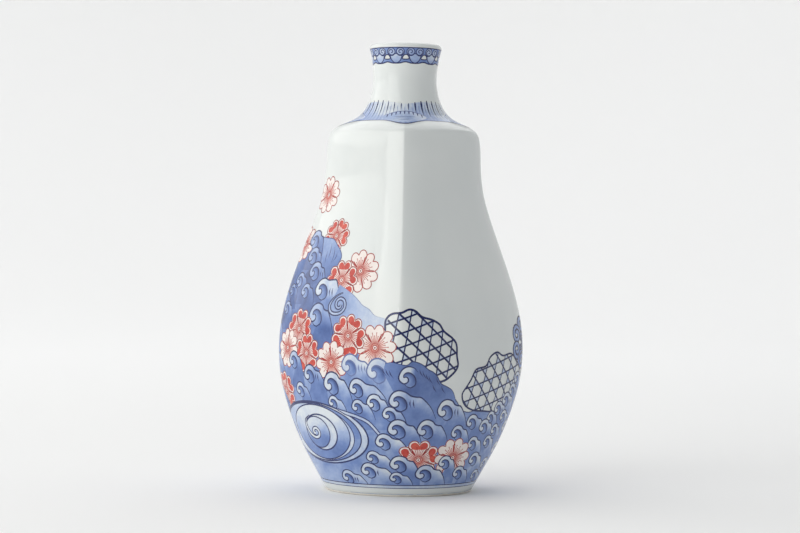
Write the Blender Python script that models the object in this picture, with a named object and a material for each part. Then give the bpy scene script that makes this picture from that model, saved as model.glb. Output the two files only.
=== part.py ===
"""A porcelain sake bottle with a round flared neck, a four-sided body and a round foot.

The bottle stands on z = 0 with its axis on +Z. Its four body corners point along +X, +Y, -X and -Y.
It is made of the clay members that a potter lutes together: foot ring, base plate, body wall,
shoulder and neck. Every level of it is one closed section, a circle at the foot and at the neck and
a square with bulged sides and soft corners between them.
"""

import math

import bmesh
import bpy
import numpy as np

# Driving dimensions, in metres.
HEIGHT = 0.170
SEAM_GAP = 0.0003
FOOT_HEIGHT = 0.0040
FOOT_FLAT_OUTER = 0.0273
FOOT_FLAT_INNER = 0.0249
FOOT_BORE_TOP = 0.0240
PLATE_RADIUS = 0.0246
PLATE_TOP = 0.0083
PLATE_DISH = 0.0010
SHOULDER_SEAM = 0.1340
NECK_SEAM = 0.1432

# The outer surface from the foot's edge to the lip: corner radius, height, squareness and wall.
# Squareness is 0 for a circle and 1 for a square whose corners are sharp.
OUTLINE = (
    (0.02800, 0.0008, 0.00, 0.0042),  # foot's bottom edge
    (0.02980, 0.0040, 0.00, 0.0042),
    (0.03220, 0.0083, 0.10, 0.0042),
    (0.03670, 0.0165, 0.34, 0.0042),
    (0.04160, 0.0280, 0.58, 0.0041),
    (0.04540, 0.0410, 0.74, 0.0040),
    (0.04660, 0.0520, 0.82, 0.0040),  # belly, the widest level
    (0.04600, 0.0630, 0.87, 0.0040),
    (0.04300, 0.0765, 0.91, 0.0040),
    (0.03770, 0.0920, 0.94, 0.0040),
    (0.03340, 0.1040, 0.95, 0.0040),
    (0.03060, 0.1140, 0.96, 0.0040),
    (0.02950, 0.1240, 0.96, 0.0040),
    (0.02910, 0.1320, 0.96, 0.0040),  # shoulder's edge
    (0.02770, 0.1366, 0.95, 0.0039),
    (0.02400, 0.1392, 0.86, 0.0038),
    (0.01950, 0.1412, 0.62, 0.0037),
    (0.01580, 0.1442, 0.32, 0.0036),
    (0.01350, 0.1487, 0.10, 0.0035),
    (0.01220, 0.1545, 0.00, 0.0033),  # neck's waist
    (0.01220, 0.1595, 0.00, 0.0031),
    (0.01280, 0.1644, 0.00, 0.0029),
    (0.01370, HEIGHT - 0.00176, 0.00, 0.0028),  # mouth's widest level, under the round lip
)
INNER_SQUARENESS = 0.75  # the inside has rounder corners than the outside

# How finely the surfaces are divided.
POINTS_AROUND = 48
BODY_RINGS = 17
SHOULDER_RINGS = 6
NECK_RINGS = 9
LIP_STEPS = 6
CORNER_CROWDING = 0.1

PORCELAIN = (0.80, 0.83, 0.83, 1.0)
BARE_CLAY = (0.78, 0.72, 0.66, 1.0)


class Spline:
    """A smooth curve through values given at rising stations, with no bend at either end."""

    def __init__(self, stations, values):
        self.stations = np.array(stations)
        self.values = np.array(values)
        count = len(self.stations)
        step = np.diff(self.stations)
        slope = np.diff(self.values) / step
        system = np.eye(count)
        bend = np.zeros(count)
        for i in range(1, count - 1):
            system[i, i - 1 : i + 2] = step[i - 1], 2 * (step[i - 1] + step[i]), step[i]
            bend[i] = 6 * (slope[i] - slope[i - 1])
        self.bends = np.linalg.solve(system, bend)

    def __call__(self, station):
        i = int(np.clip(np.searchsorted(self.stations, station) - 1, 0, len(self.stations) - 2))
        step = self.stations[i + 1] - self.stations[i]
        before = (self.stations[i + 1] - station) / step
        after = (station - self.stations[i]) / step
        straight = before * self.values[i] + after * self.values[i + 1]
        curved = (before**3 - before) * self.bends[i] + (after**3 - after) * self.bends[i + 1]
        return straight + curved * step * step / 6


def outline_stations():
    """Distance along the outline at each of its points."""
    radius, height = np.array(OUTLINE)[:, :2].T
    return np.concatenate([[0.0], np.cumsum(np.hypot(np.diff(radius), np.diff(height)))])


STATIONS = outline_stations()
RADIUS, LEVEL, SQUARENESS, WALL = (Spline(STATIONS, column) for column in np.array(OUTLINE).T)


def station_at(height):
    """The distance along the outline at which it reaches a height."""
    low, high = STATIONS[0], STATIONS[-1]
    for _ in range(50):
        middle = (low + high) / 2
        if LEVEL(middle) < height:
            low = middle
        else:
            high = middle
    return (low + high) / 2


def outward(station):
    """The outline's outward direction in the plane of radius and height."""
    step = 1e-5
    run = RADIUS(station + step) - RADIUS(station - step)
    rise = LEVEL(station + step) - LEVEL(station - step)
    length = math.hypot(run, rise)
    return rise / length, -run / length


def section(mean_radius, squareness, height):
    """One level's closed ring of points, by the direction that its surface faces.

    The ring's radius of curvature is mean_radius * (1 - 4/3 s cos 4a + 1/3 s^2 cos 8a), which is
    small at the four corners and large on the four sides.
    """
    first = squareness * 4 / 45
    second = squareness**2 / 189
    points = []
    for i in range(POINTS_AROUND):
        turn = math.tau * i / POINTS_AROUND
        facing = turn + CORNER_CROWDING * math.sin(4 * turn) * squareness
        reach = mean_radius * (1 + first * math.cos(4 * facing) - second * math.cos(8 * facing))
        drift = mean_radius * (8 * second * math.sin(8 * facing) - 4 * first * math.sin(4 * facing))
        x = reach * math.cos(facing) - drift * math.sin(facing)
        y = reach * math.sin(facing) + drift * math.cos(facing)
        points.append((x, y, height))
    return points


def circle(radius, height):
    return section(radius, 0.0, height)


def shape_at(station):
    """Squareness and mean radius of the outer surface's section."""
    squareness = min(max(SQUARENESS(station), 0.0), 1.0)
    mean = RADIUS(station) / (1 + squareness * 4 / 45 - squareness**2 / 189)
    return squareness, mean


def outer_ring(station):
    squareness, mean = shape_at(station)
    return section(mean, squareness, LEVEL(station))


def inner_ring(station):
    """The inside of the wall, one wall thickness behind the middle of each side."""
    squareness, mean = shape_at(station)
    along_radius, along_height = outward(station)
    side = mean * (1 - squareness * 4 / 45 - squareness**2 / 189) - WALL(station) * along_radius
    inside = squareness * INNER_SQUARENESS
    inside_mean = side / (1 - inside * 4 / 45 - inside**2 / 189)
    return section(inside_mean, inside, LEVEL(station) - WALL(station) * along_height)


def glaze_material(name, colour, roughness):
    material = bpy.data.materials.new(name)
    material.use_nodes = True
    shader = material.node_tree.nodes["Principled BSDF"]
    shader.inputs["Base Color"].default_value = colour
    shader.inputs["Roughness"].default_value = roughness
    shader.inputs["Metallic"].default_value = 0.0
    return material


def add_object(name, mesh_builder, material):
    """Puts a finished bmesh into the scene as a smooth-shaded object."""
    bmesh.ops.recalc_face_normals(mesh_builder, faces=mesh_builder.faces)
    mesh = bpy.data.meshes.new(name)
    mesh_builder.to_mesh(mesh)
    mesh_builder.free()
    mesh.shade_smooth()
    mesh.set_sharp_from_angle(angle=math.radians(40))
    mesh.materials.append(material)
    made = bpy.data.objects.new(name, mesh)
    bpy.context.scene.collection.objects.link(made)
    return made


def add_rings(builder, rings):
    return [[builder.verts.new(point) for point in ring] for ring in rings]


def join_rings(builder, first, second):
    for i in range(POINTS_AROUND):
        after = (i + 1) % POINTS_AROUND
        builder.faces.new((first[i], first[after], second[after], second[i]))


def hollow_piece(name, rings, material):
    """A closed wall swept round the axis: its last ring joins its first."""
    builder = bmesh.new()
    loops = add_rings(builder, rings)
    for first, second in zip(loops, loops[1:] + loops[:1]):
        join_rings(builder, first, second)
    return add_object(name, builder, material)


def disc_piece(name, rings, bottom_centre, top_centre, material):
    """A closed disc: rings from its underside to its top, closed by a fan at each end."""
    builder = bmesh.new()
    loops = add_rings(builder, rings)
    for first, second in zip(loops, loops[1:]):
        join_rings(builder, first, second)
    for centre, loop in ((bottom_centre, loops[0]), (top_centre, loops[-1])):
        hub = builder.verts.new((0.0, 0.0, centre))
        for i in range(POINTS_AROUND):
            builder.faces.new((hub, loop[i], loop[(i + 1) % POINTS_AROUND]))
    return add_object(name, builder, material)


def wall_between(start, end, count):
    """Outer rings going up from start to end, then inner rings coming back down."""
    stations = np.linspace(start, end, count)
    return [outer_ring(s) for s in stations] + [inner_ring(s) for s in reversed(stations)]


def make_foot_ring():
    foot_edge = 0.0005
    top = station_at(FOOT_HEIGHT)
    rings = [circle(FOOT_FLAT_OUTER, 0.0), circle(RADIUS(0.0) - foot_edge / 4, foot_edge)]
    rings += [outer_ring(s) for s in np.linspace(0.0, top, 3)]
    rings += [circle(FOOT_BORE_TOP, FOOT_HEIGHT)]
    rings += [circle(FOOT_FLAT_INNER - foot_edge, foot_edge), circle(FOOT_FLAT_INNER, 0.0)]
    return hollow_piece("foot_ring", rings, glaze_material("foot_clay", BARE_CLAY, 0.6))


def make_base_plate():
    bottom = FOOT_HEIGHT + SEAM_GAP
    bevel = 0.0006
    rings = [circle(PLATE_RADIUS / 2, bottom), circle(PLATE_RADIUS, bottom)]
    rings += [circle(PLATE_RADIUS, PLATE_TOP - bevel), circle(PLATE_RADIUS - bevel, PLATE_TOP)]
    rings += [circle(PLATE_RADIUS / 2, PLATE_TOP - PLATE_DISH * 0.8)]
    material = glaze_material("base_porcelain", PORCELAIN, 0.15)
    return disc_piece("base_plate", rings, bottom, PLATE_TOP - PLATE_DISH, material)


def make_body_wall():
    start = station_at(FOOT_HEIGHT + SEAM_GAP)
    end = station_at(SHOULDER_SEAM)
    rings = wall_between(start, end, BODY_RINGS)
    # The lowest inner ring meets the base plate's rim instead of following the outside.
    plate_seat = PLATE_RADIUS + SEAM_GAP
    rings[-1] = circle(plate_seat, PLATE_TOP)
    rings.append(circle(plate_seat, FOOT_HEIGHT + SEAM_GAP))
    return hollow_piece("body_wall", rings, glaze_material("body_porcelain", PORCELAIN, 0.12))


def make_shoulder():
    start = station_at(SHOULDER_SEAM) + SEAM_GAP
    end = station_at(NECK_SEAM)
    rings = wall_between(start, end, SHOULDER_RINGS)
    return hollow_piece("shoulder", rings, glaze_material("shoulder_porcelain", PORCELAIN, 0.12))


def lip_rings(station):
    """Rings round the half circle that caps the wall at the mouth."""
    along_radius, along_height = outward(station)
    half_wall = WALL(station) / 2
    centre_radius = RADIUS(station) - half_wall * along_radius
    centre_height = LEVEL(station) - half_wall * along_height
    rings = []
    for i in range(LIP_STEPS):
        angle = math.pi * i / LIP_STEPS
        radius = centre_radius + half_wall * math.cos(angle)
        rings.append(circle(radius, centre_height + half_wall * math.sin(angle)))
    return rings


def make_neck():
    start = station_at(NECK_SEAM) + SEAM_GAP
    end = STATIONS[-1]
    stations = np.linspace(start, end, NECK_RINGS)
    rings = [outer_ring(s) for s in stations] + lip_rings(end)
    rings += [inner_ring(s) for s in reversed(stations)]
    return hollow_piece("neck", rings, glaze_material("neck_porcelain", PORCELAIN, 0.12))


def main():
    for existing in list(bpy.data.objects):
        bpy.data.objects.remove(existing)
    make_foot_ring()
    make_base_plate()
    make_body_wall()
    make_shoulder()
    make_neck()


main()
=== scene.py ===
"""The looks of a porcelain sake bottle, painted in blue and red on a white glaze.

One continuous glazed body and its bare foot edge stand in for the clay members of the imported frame.
The painting is laid out on a flat chart of the outer surface: along it runs the way round the
bottle, 0 at the front corner, and up it runs the distance along the outline. Every brush stroke and
wash is a polygon on that chart, later ones over earlier ones. The chart is cut into triangles in one
go, each triangle takes the topmost paint, and the paints are wrapped round the body.
The surface and the chart are in millimetres; objects, lights and camera are in metres.
"""

import math
import random

import bpy
import numpy as np
from mathutils import Euler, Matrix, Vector
from mathutils.geometry import delaunay_2d_cdt


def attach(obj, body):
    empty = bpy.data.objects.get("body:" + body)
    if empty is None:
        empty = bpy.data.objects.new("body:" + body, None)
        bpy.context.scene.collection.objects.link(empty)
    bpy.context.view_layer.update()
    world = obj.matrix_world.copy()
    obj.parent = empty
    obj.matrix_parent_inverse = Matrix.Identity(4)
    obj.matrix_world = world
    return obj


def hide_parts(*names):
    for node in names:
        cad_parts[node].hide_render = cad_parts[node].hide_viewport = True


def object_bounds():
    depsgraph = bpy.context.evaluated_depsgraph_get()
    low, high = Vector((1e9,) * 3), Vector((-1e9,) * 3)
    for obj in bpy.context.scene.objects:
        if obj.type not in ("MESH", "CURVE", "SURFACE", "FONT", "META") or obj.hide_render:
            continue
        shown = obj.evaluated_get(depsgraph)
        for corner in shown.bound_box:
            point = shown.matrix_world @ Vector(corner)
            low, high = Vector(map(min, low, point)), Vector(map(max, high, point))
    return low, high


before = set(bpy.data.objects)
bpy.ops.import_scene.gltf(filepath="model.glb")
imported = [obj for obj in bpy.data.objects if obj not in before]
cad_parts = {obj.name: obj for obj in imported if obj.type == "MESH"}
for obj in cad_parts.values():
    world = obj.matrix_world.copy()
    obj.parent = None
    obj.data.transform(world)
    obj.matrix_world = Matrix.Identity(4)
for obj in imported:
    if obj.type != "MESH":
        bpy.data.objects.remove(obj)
CAD_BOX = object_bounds()

MM = 0.001
TOP = CAD_BOX[1].z / MM

# ---- The surface: the same outline and sections as the frame's, in millimetres.

# Corner radius, height, squareness and wall, from the foot's edge to the lip.
OUTLINE = np.array((
    (28.0, 0.8, 0.00, 4.2), (29.8, 4.0, 0.00, 4.2), (32.2, 8.3, 0.10, 4.2),
    (36.7, 16.5, 0.34, 4.2), (41.6, 28.0, 0.58, 4.1), (45.4, 41.0, 0.74, 4.0),
    (46.6, 52.0, 0.82, 4.0), (46.0, 63.0, 0.87, 4.0), (43.0, 76.5, 0.91, 4.0),
    (37.7, 92.0, 0.94, 4.0), (33.4, 104.0, 0.95, 4.0), (30.6, 114.0, 0.96, 4.0),
    (29.5, 124.0, 0.96, 4.0), (29.1, 132.0, 0.96, 4.0), (27.7, 136.6, 0.95, 3.9),
    (24.0, 139.2, 0.86, 3.8), (19.5, 141.2, 0.62, 3.7), (15.8, 144.2, 0.32, 3.6),
    (13.5, 148.7, 0.10, 3.5), (12.2, 154.5, 0.00, 3.3), (12.2, 159.5, 0.00, 3.1),
    (12.8, 164.4, 0.00, 2.9), (13.7, TOP - 1.76, 0.00, 2.8),
))
INNER_SQUARENESS = 0.75
COLUMNS = 192
FRONT = -math.pi / 2  # the direction that the front corner faces
CHART_WIDTH = 250.0
HALF_CHART = CHART_WIDTH / 2
CORNER = CHART_WIDTH / 4  # from one body corner to the next on the chart
TINY = 1e-12  # keeps a step of no length from being divided by zero
PAINT_LIFT = 0.045  # how far the paint stands off the glaze, so that the two never mix


class Spline:
    """A smooth curve through values given at rising stations, with no bend at either end."""

    def __init__(self, stations, values):
        self.stations = stations
        self.values = values
        count = len(stations)
        step = np.diff(stations)
        slope = np.diff(values) / step
        system = np.eye(count)
        bend = np.zeros(count)
        for i in range(1, count - 1):
            system[i, i - 1 : i + 2] = step[i - 1], 2 * (step[i - 1] + step[i]), step[i]
            bend[i] = 6 * (slope[i] - slope[i - 1])
        self.bends = np.linalg.solve(system, bend)

    def __call__(self, station):
        i = np.clip(np.searchsorted(self.stations, station) - 1, 0, len(self.stations) - 2)
        step = self.stations[i + 1] - self.stations[i]
        before = (self.stations[i + 1] - station) / step
        after = (station - self.stations[i]) / step
        straight = before * self.values[i] + after * self.values[i + 1]
        curved = (before**3 - before) * self.bends[i] + (after**3 - after) * self.bends[i + 1]
        return straight + curved * step * step / 6


STEPS = np.hypot(np.diff(OUTLINE[:, 0]), np.diff(OUTLINE[:, 1]))
STATIONS = np.concatenate([[0.0], np.cumsum(STEPS)])
RADIUS, LEVEL, SQUARENESS, WALL = (Spline(STATIONS, column) for column in OUTLINE.T)
FINE_STATIONS = np.linspace(0.0, STATIONS[-1], 4000)
FINE_LEVELS = LEVEL(FINE_STATIONS)


def pairs(first, second):
    """Two columns of numbers as points, either of them one number for all."""
    return np.stack(np.broadcast_arrays(first, second), axis=1).astype(float)


def station_at(height):
    return np.interp(height, FINE_LEVELS, FINE_STATIONS)


# A section of mean radius 1 reaches 1 + a * cos(4 * facing) - b * cos(8 * facing), where a and b are
# these two numbers times the squareness and its square. They leave the sides of a full square flat.
FIRST_LOBE = 4 / 45
SECOND_LOBE = 1 / 189


def shape_at(station):
    """Squareness and mean radius of the outer surface's section."""
    squareness = np.clip(SQUARENESS(station), 0.0, 1.0)
    return squareness, RADIUS(station) / (1 + squareness * FIRST_LOBE - squareness**2 * SECOND_LOBE)


def reach_at(facing, mean, squareness):
    """How far the section reaches in the direction that its surface faces, and how it drifts."""
    first = squareness * FIRST_LOBE
    second = squareness**2 * SECOND_LOBE
    reach = mean * (1 + first * np.cos(4 * facing) - second * np.cos(8 * facing))
    drift = mean * (8 * second * np.sin(8 * facing) - 4 * first * np.sin(4 * facing))
    return reach, drift


def section(facing, mean, squareness):
    reach, drift = reach_at(facing, mean, squareness)
    x = reach * np.cos(facing) - drift * np.sin(facing)
    y = reach * np.sin(facing) + drift * np.cos(facing)
    return x, y


def outer_surface(facing, station, lift=0.0):
    """Points of the outer surface and its outward directions."""
    squareness, mean = shape_at(station)
    x, y = section(facing, mean, squareness)
    step = 0.01
    above = np.clip(station + step, 0.0, STATIONS[-1])
    below = np.clip(station - step, 0.0, STATIONS[-1])
    rise = LEVEL(above) - LEVEL(below)
    swell = [reach_at(facing, mean_at, square) for square, mean_at in map(shape_at, (above, below))]
    slope = (swell[0][0] - swell[1][0]) / rise
    outward = np.stack([np.cos(facing), np.sin(facing), -slope], axis=-1)
    outward /= np.linalg.norm(outward, axis=-1, keepdims=True)
    points = np.stack([x, y, LEVEL(station)], axis=-1)
    return points + outward * lift, outward


def girth(station):
    return math.tau * shape_at(station)[1]


def arc_from_corner(turn, squareness, mean):
    """Distance round the section from a corner, by how far its surface has turned since."""
    return mean * (
        turn - squareness / 3 * np.sin(4 * turn) + squareness**2 / 24 * np.sin(8 * turn)
    )


def facing_on_chart(along, station):
    """The direction that the surface faces at chart points, found by halving."""
    squareness, mean = shape_at(station)
    target = along * math.tau * mean / CHART_WIDTH
    low = np.full_like(target, -math.pi - 0.1)
    high = np.full_like(target, math.pi + 0.1)
    for _ in range(45):
        middle = (low + high) / 2
        short = arc_from_corner(middle, squareness, mean) < target
        low = np.where(short, middle, low)
        high = np.where(short, high, middle)
    return (low + high) / 2 + FRONT


def bend_radius(along, station):
    """Radius of curvature of the section at chart points: small at the corners."""
    squareness, mean = shape_at(station)
    facing = facing_on_chart(along, station)
    bulge = squareness * 4 / 3 * np.cos(4 * facing) - squareness**2 / 3 * np.cos(8 * facing)
    return mean * (1 - bulge)


# ---- The painting's toolbox.


def ease(value, start, end):
    """Rises smoothly from 0 to 1 between start and end."""
    share = np.clip((value - start) / (end - start), 0.0, 1.0)
    return share * share * (3 - 2 * share)


def smooth(points, steps=4, closed=False):
    """A rounded line through points, by Catmull-Rom arcs."""
    points = np.asarray(points, float)
    count = len(points)
    if closed:
        padded = np.vstack([points[-1], points, points[:2]])
        spans = count
    else:
        first = 2 * points[0] - points[1]
        last = 2 * points[-1] - points[-2]
        padded = np.vstack([first, points, last])
        spans = count - 1
    share = (np.arange(steps) / steps)[:, None]
    line = []
    for i in range(spans):
        a, b, c, d = padded[i : i + 4]
        linear = (c - a) * share
        square = (2 * a - 5 * b + 4 * c - d) * share**2
        cube = (3 * b - a - 3 * c + d) * share**3
        line.append(b + (linear + square + cube) / 2)
    if not closed:
        line.append(points[-1:])
    return np.vstack(line)


def oval(centre, radius, steps=28):
    """A closed outline round a circle or, with two radii, an ellipse."""
    angle = np.linspace(0, math.tau, steps, endpoint=False)
    across, up = np.broadcast_to(radius, 2)
    return pairs(centre[0] + across * np.cos(angle), centre[1] + up * np.sin(angle))


def turned(points, degrees):
    angle = math.radians(degrees)
    spin = np.array(((math.cos(angle), math.sin(angle)), (-math.sin(angle), math.cos(angle))))
    return np.asarray(points) @ spin


def chart_line(points):
    """A chart line from arcs, measured round the surface from the front corner, and heights."""
    line = np.array(points, float)
    stations = station_at(line[:, 1])
    return pairs(line[:, 0] * CHART_WIDTH / girth(stations), stations)


def level_line(along, height):
    """A chart line along the bottle at one height, or at a height for each of its points."""
    return pairs(along, station_at(height))


def between(first, second):
    """The closed outline of the band between two lines that run the same way."""
    return np.vstack([first, second[::-1]])


class Spot:
    """A place on the surface where a motif goes, with its size and turn.

    A motif's own points are measured from there, in multiples of its size.
    """

    def __init__(self, arc, height, size=1.0, turn=0.0):
        self.station = float(station_at(height))
        self.spread = CHART_WIDTH / float(girth(self.station))
        self.along = arc * self.spread
        self.size = size
        self.turn = turn

    def chart(self, points):
        local = turned(np.asarray(points, float) * self.size, self.turn)
        return local * (self.spread, 1.0) + (self.along, self.station)

    def local(self, chart_points):
        flat = (chart_points - (self.along, self.station)) / (self.spread, 1.0)
        return turned(flat, -self.turn) / self.size


class Painting:
    """Polygons on the chart, from the lowest layer to the topmost."""

    def __init__(self):
        self.shapes = []

    def fill(self, paint, outline, tone=0.5, inside=None):
        """Adds a filled outline. It shows only where the shape numbered inside is beneath it."""
        outline = np.asarray(outline, float)
        following = np.roll(outline, -1, axis=0)
        area = np.sum(outline[:, 0] * following[:, 1] - outline[:, 1] * following[:, 0])
        if area < 0:
            outline = outline[::-1]
        self.shapes.append((paint, outline, tone, inside))
        return len(self.shapes) - 1

    def stroke(self, paint, line, width, tone=0.9, closed=False, inside=None):
        """Adds a brush stroke along a chart line as a run of four-sided pieces.

        The width is in millimetres on the surface: one number, or one for each point.
        """
        line = np.asarray(line, float)
        if closed:
            line = np.vstack([line, line[:1]])
        spread = CHART_WIDTH / girth(line[:, 1])
        heading = np.gradient(line, axis=0)
        heading[:, 0] /= spread
        if closed:
            heading[0] = heading[-1] = heading[0] + heading[-1]
        heading /= np.linalg.norm(heading, axis=1, keepdims=True) + TINY
        reach = np.broadcast_to(np.asarray(width, float), len(line))[:, None] / 2
        side = np.stack([-heading[:, 1] * spread, heading[:, 0]], axis=1) * reach
        left = line + side
        right = line - side
        for i in range(len(line) - 1):
            piece = (right[i], right[i + 1], left[i + 1], left[i])
            halves = [half for half in (piece[:3], (piece[0], *piece[2:])) if doubled_area(*half) > 0]
            if len(halves) == 1:
                piece = halves[0]
            if halves:
                self.shapes.append((paint, np.array(piece), tone, inside))

    def brush(self, line, width, tone, start=0.3, end=0.3, reach=0.25):
        """A blue stroke that thins out towards both ends."""
        self.stroke(LINES, line, tapered(len(line), width, start, end, reach), tone)

    def ringed(self, paint, outline, tone, width, line_tone=0.9):
        """A filled outline with a blue line round it."""
        self.fill(paint, outline, tone)
        self.stroke(LINES, outline, width, line_tone, closed=True)

    def hatch(self, points, width, tone):
        """A short curved stroke, pointed at both ends, through a few arcs and heights."""
        self.brush(smooth(chart_line(points), 4), width, tone, 0.2, 0.2, 0.5)

    def bank(self, ridge, foot, tone, width, line_tone, start=1.0, end=1.0):
        """A washed mass between a drawn ridge and a plain foot, both by arcs and heights."""
        line = smooth(chart_line(ridge), 3)
        self.fill(WASH, np.vstack([line, chart_line(foot)]), tone)
        self.brush(line, width, line_tone, start, end)


def doubled_area(a, b, c):
    """Twice a triangle's area, negative when its corners run clockwise."""
    return (b[0] - a[0]) * (c[1] - a[1]) - (b[1] - a[1]) * (c[0] - a[0])


def tapered(count, width, start=0.3, end=0.3, reach=0.25):
    """Stroke widths that thin out towards both ends."""
    share = np.linspace(0.0, 1.0, count)
    thin_start = start + (1 - start) * ease(share, 0.0, reach)
    thin_end = end + (1 - end) * ease(1 - share, 0.0, reach)
    return width * thin_start * thin_end


# ---- The motifs.

BARE = "bare"
WASH = "blue_wash"
LINES = "blue_lines"
RED = "red_enamel"
RED_LINES = "red_lines"
PALE = "pale_enamel"
NARROWEST_BAND = 0.08

# One breaking wave, in wave units: its crest from the ridge behind it over to the rolled tip, the
# hollow under the crest, and the hollow's foot.
CREST = (
    (5.1, -2.2), (4.5, -1.2), (3.9, -0.5), (2.9, 0.3), (2.15, 0.4), (1.45, 0.55),
    (0.8, 0.95), (0.07, 1.15), (-0.62, 0.85), (-1.05, 0.07), (-0.95, -0.5), (-0.47, -0.82),
    (-0.04, -0.66), (0.06, -0.3), (-0.18, -0.04), (-0.5, -0.12),
)
HOLLOW = (
    (-0.5, -0.12), (-0.46, 0.22), (-0.1, 0.45), (0.35, 0.38), (0.76, 0.05), (0.97, -0.47),
    (0.86, -1.0), (0.33, -1.3),
)
HOLLOW_FOOT = ((0.33, -1.3), (-0.1, -1.15), (-0.47, -0.8))
WAVE_FOOT = ((0.1, -1.9), (-0.5, -2.9), (-0.6, -4.0), (4.3, -4.0))
CREST_RISE = 6  # places in CREST of the rise to the top and of the head's lowest point
CREST_HEAD = 11
CREST_STEPS = 4
WAVE_HATCHES = (
    ((1.35, 0.05), (1.3, -0.35), (1.42, -0.8)),
    ((1.7, 0.1), (1.72, -0.4), (1.86, -0.9)),
    ((2.1, -0.05), (2.12, -0.4), (2.24, -0.75)),
)


def draw_wave(art, spot, ridge=0.55, swell=0.0, depth=0.0, line_tone=0.95, hatches=0, backed=True):
    """A breaking wave: body, pale curling crest, dark hollow, outlines and a few back strokes.

    ridge scales the length of the line behind the crest, swell lifts it into a hump, depth darkens
    the body, and a wave that isn't backed is only a curl on what lies beneath it.
    """
    crest = np.array(CREST)
    top = crest[CREST_RISE, 0]
    crest[:CREST_RISE, 0] = top + (crest[:CREST_RISE, 0] - top) * ridge
    crest[2:CREST_RISE, 1] += swell * np.array((0.35, 1.0, 1.0, 0.7))
    if not backed:
        crest = crest[CREST_RISE - 1 :]
    crest_line = smooth(crest, CREST_STEPS)
    hollow_line = smooth(HOLLOW, CREST_STEPS)
    foot_line = smooth(HOLLOW_FOOT, 3)
    rise = (CREST_RISE if backed else 1) * CREST_STEPS
    head = rise + (CREST_HEAD - CREST_RISE) * CREST_STEPS
    mottle = 0.05 * math.sin(1.7 * spot.along + spot.station)

    def body_tone(chart_points):
        local = spot.local(chart_points)
        fall = 1.05 - 0.3 * np.maximum(local[:, 0], 0.0) - local[:, 1]
        cloud = np.sin(2.3 * local[:, 0] + spot.along) * np.cos(1.9 * local[:, 1])
        return 0.15 + depth + mottle + 0.37 * ease(fall, 0.1, 2.3) + 0.05 * cloud

    def band_tone(chart_points):
        local = spot.local(chart_points)
        blend = 0.0 if backed else 0.5 * ease(local[:, 0], 0.2, 1.2)
        shade = 0.22 * ease(local[:, 0], -0.5, 1.0) * ease(-local[:, 1], -1.6, 0.4)
        return 0.06 + 0.7 * max(depth, 0.0) + blend + shade

    def hollow_tone(chart_points):
        local = spot.local(chart_points) - (-0.1, -0.45)
        return 0.42 + 0.5 * ease(np.hypot(*local.T), 0.35, 0.95) * ease(local[:, 1], -0.8, 0.3)

    if backed:
        wave_foot = np.array(WAVE_FOOT)
        wave_foot[-1, 0] = crest[0, 0] + 0.2
        body = np.vstack([crest_line[: head + 1], foot_line[::-1], wave_foot])
        art.fill(WASH, spot.chart(body), body_tone)
    band = np.vstack([crest_line[rise:], hollow_line[1 : -2 * CREST_STEPS - 1]])
    art.fill(WASH, spot.chart(band), band_tone)
    hollow = np.vstack([hollow_line, foot_line[1:], crest_line[head + 1 : -1]])
    art.fill(WASH, spot.chart(hollow), hollow_tone)
    width = 0.09 * spot.size + 0.26
    outline = spot.chart(crest_line)
    art.brush(outline, width, line_tone, 0.4, 0.7)
    under = spot.chart(np.vstack([hollow_line, foot_line[1:]]))
    art.brush(under, width * 0.9, line_tone, 0.8, 0.4)
    for strokes in WAVE_HATCHES[:hatches]:
        hatch = spot.chart(smooth(strokes, 3))
        art.brush(hatch, width, line_tone * 0.85, 0.2, 0.2, 0.5)


def spiral_points(centre, outer, inner, turns, start, steps_per_turn=18):
    """A spiral that winds in from outer to inner radius. Angles in degrees."""
    steps = int(abs(turns) * steps_per_turn) + 1
    angle = math.radians(start) + np.linspace(0.0, turns * math.tau, steps)
    radius = np.linspace(outer, inner, steps)
    return pairs(centre[0] + radius * np.cos(angle), centre[1] + radius * np.sin(angle))


def draw_banded(art, line, band, tone, edge, line_tone):
    """A pale band between two dark lines. band gives its width and how thin it starts and ends."""
    width, start, end = band
    widths = tapered(len(line), width, start, end)
    art.stroke(LINES, line, widths + edge, line_tone)
    art.stroke(WASH, line, np.maximum(widths - edge, NARROWEST_BAND), tone)


def draw_spiral_wave(art, spot):
    """A fern-like roll: a banded line that comes down from the left and winds in on itself."""
    disc = spot.chart(oval((-0.2, -0.2), (1.75, 1.5), 24))
    art.fill(WASH, disc, 0.34)
    stem = ((0.5, 1.95), (-0.6, 1.5), (-1.55, 0.75), (-2.05, -0.25), (-1.7, -1.15), (-0.85, -1.5))
    roll = spiral_points((0.1, 0.0), 1.42, 0.3, 1.3, 268, 20)
    line = spot.chart(smooth(np.vstack([stem, roll[1::3]]), 3))
    draw_banded(art, line, (0.5 * spot.size, 0.1, 0.8), 0.22, 0.5, 1.0)


PETALS = 5
STAMENS = 36
EYE = ((RED_LINES, 0.14, 14, 0.6), (PALE, 0.09, 12, 0.0), (RED_LINES, 0.045, 8, 0.9))
# Half a petal and half of its coloured tip, in units of the flower's radius, the petal along +x.
PETAL_SIDE = (
    (0.12, 0.05), (0.34, 0.26), (0.52, 0.41), (0.69, 0.475), (0.86, 0.44), (0.97, 0.33),
    (0.985, 0.19), (0.92, 0.08), (0.8, 0.0),
)
TIP_SIDE = (
    (0.55, 0.0), (0.53, 0.15), (0.57, 0.3), (0.69, 0.385), (0.82, 0.365), (0.895, 0.275),
    (0.9, 0.18), (0.85, 0.09), (0.74, 0.0),
)


def mirrored(side):
    """A closed outline from its upper half: the half line is rounded, the ends stay pointed."""
    upper = smooth(side, 3)
    lower = upper[::-1] * (1, -1)
    return np.vstack([upper, lower[1:-1]]) if upper[0, 1] == 0 else np.vstack([upper, lower[1:]])


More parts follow.
